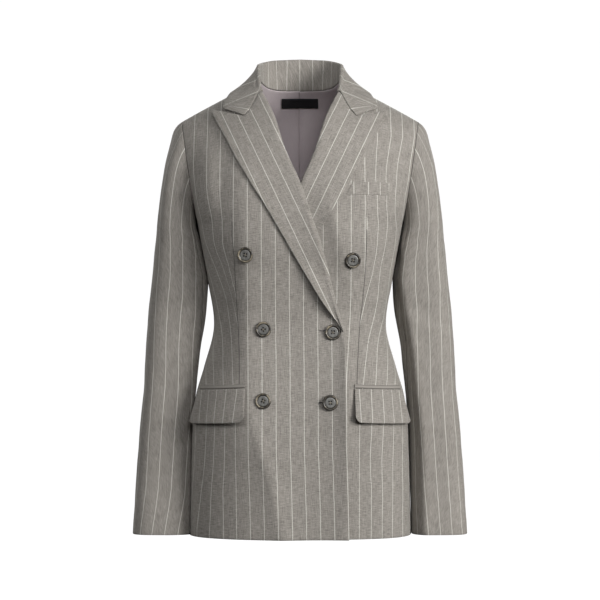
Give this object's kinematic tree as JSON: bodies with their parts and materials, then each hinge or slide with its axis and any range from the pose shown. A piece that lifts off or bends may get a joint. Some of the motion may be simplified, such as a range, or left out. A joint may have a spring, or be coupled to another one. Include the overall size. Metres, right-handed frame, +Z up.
{
  "type": "double breasted blazer",
  "caption": "Fitted double breasted blazer in pinstriped wool with peak lapels, flap pockets and a chest welt pocket, held open and hollow as when worn.",
  "frame": {"origin": "middle of the neck opening, level with the neck end of the shoulder seams, where the blazer is held up", "axes": "+Z up along the blazer's length, -Y out of its front, +X towards the wearer's left"},
  "size_m": [0.4976, 0.273, 0.7146],
  "materials": {
    "wool": "matt worsted wool, grey with pale pinstripes",
    "lining": "smooth satin, lilac grey",
    "label": "woven, black, blank",
    "horn": "polished dark grey imitation horn"
  },
  "bodies": {
    "root": {"back_left": "wool", "back_right": "wool", "button_bottom_left": "horn", "button_bottom_right": "horn", "button_middle_left": "horn", "button_middle_right": "horn", "button_top_left": "horn", "button_top_right": "horn", "chest_welt": "wool", "collar": "wool", "front_left": "wool", "front_right": "wool", "label": "label", "lapel_left": "wool", "lapel_right": "wool", "lining_left": "lining", "lining_right": "lining", "pocket_flap_left": "wool", "pocket_flap_right": "wool", "pocket_jet_left": "wool", "pocket_jet_right": "wool", "sleeve_top_left": "wool", "sleeve_top_right": "wool", "sleeve_under_left": "wool", "sleeve_under_right": "wool"}
  },
  "joints": []
}
